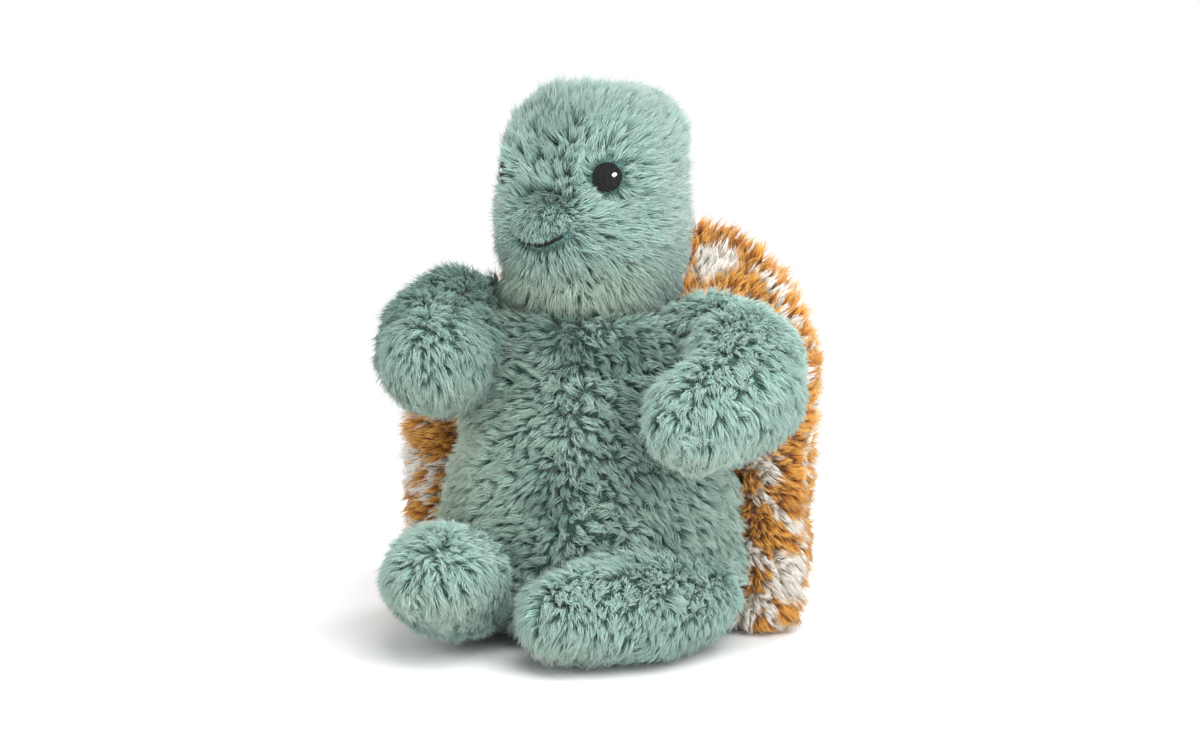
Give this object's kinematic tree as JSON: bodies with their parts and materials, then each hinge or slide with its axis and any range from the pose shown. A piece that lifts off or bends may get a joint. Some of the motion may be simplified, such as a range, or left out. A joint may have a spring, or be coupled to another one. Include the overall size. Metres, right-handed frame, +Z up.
{
  "type": "plush turtle",
  "caption": "Seated long-pile plush turtle with a turned head, flipper arms, stubby legs, a padded two-tone shell and an embroidered eye and smile.",
  "frame": {"origin": "middle of the seat's flat, on the floor, under the neck's upright axis", "axes": "+Z up; the turtle faces -Y; +X is the turtle's own left"},
  "size_m": [0.2411, 0.221, 0.288],
  "materials": {
    "teal_pile": "matte",
    "shell_pile": "matte",
    "stuffing": "matte",
    "cloth": "matte",
    "black_thread": "matte",
    "white_thread": "matte"
  },
  "bodies": {
    "torso": {"belly_panel_left": "teal_pile", "belly_panel_right": "teal_pile", "back_panel": "teal_pile", "seat_panel": "teal_pile", "torso_stuffing": "stuffing", "pellet_pouch": "cloth", "shell_cover": "shell_pile", "shell_lining": "cloth", "shell_stuffing": "stuffing"},
    "neck": {"neck_cover": "teal_pile", "neck_stuffing": "stuffing"},
    "head": {"head_panel_left": "teal_pile", "head_panel_right": "teal_pile", "head_stuffing": "stuffing", "eye_left": "black_thread", "eye_right": "black_thread", "eye_glint_left": "white_thread", "eye_glint_right": "white_thread", "mouth_stitch": "black_thread"},
    "arm_left": {"arm_left_top": "teal_pile", "arm_left_under": "teal_pile", "arm_left_stuffing": "stuffing"},
    "arm_right": {"arm_right_top": "teal_pile", "arm_right_under": "teal_pile", "arm_right_stuffing": "stuffing"},
    "leg_left": {"leg_left_top": "teal_pile", "leg_left_sole": "teal_pile", "leg_left_stuffing": "stuffing"},
    "leg_right": {"leg_right_top": "teal_pile", "leg_right_sole": "teal_pile", "leg_right_stuffing": "stuffing"}
  },
  "joints": [
    {"name": "head_turn", "type": "hinge", "parent": "torso", "child": "neck", "pos_m": [0, -0.004, 0.16], "axis": [0, 0, 1], "range_deg": [-15, 40], "stiffness_Nm_per_rad": 0.08},
    {"name": "head_nod", "type": "hinge", "parent": "neck", "child": "head", "pos_m": [0, -0.004, 0.16], "axis": [0.9781, -0.2079, 0], "range_deg": [-4, 6], "stiffness_Nm_per_rad": 0.4},
    {"name": "arm_left_lift", "type": "hinge", "parent": "torso", "child": "arm_left", "pos_m": [0.06156, -0.004, 0.15664], "axis": [-0.9703, -0.2419, 0], "range_deg": [-28, 34], "stiffness_Nm_per_rad": 0.5},
    {"name": "arm_right_lift", "type": "hinge", "parent": "torso", "child": "arm_right", "pos_m": [-0.06156, -0.004, 0.15664], "axis": [-0.9986, -0.0523, 0], "range_deg": [-46, 15], "stiffness_Nm_per_rad": 0.5},
    {"name": "leg_left_lift", "type": "hinge", "parent": "torso", "child": "leg_left", "pos_m": [0.06075, -0.03312, 0.028], "axis": [-0.8387, 0.5446, 0], "range_deg": [-40, 12], "stiffness_Nm_per_rad": 0.5},
    {"name": "leg_right_lift", "type": "hinge", "parent": "torso", "child": "leg_right", "pos_m": [-0.06075, -0.03312, 0.028], "axis": [-0.9816, -0.1908, 0], "range_deg": [-52, 3], "stiffness_Nm_per_rad": 0.5}
  ]
}
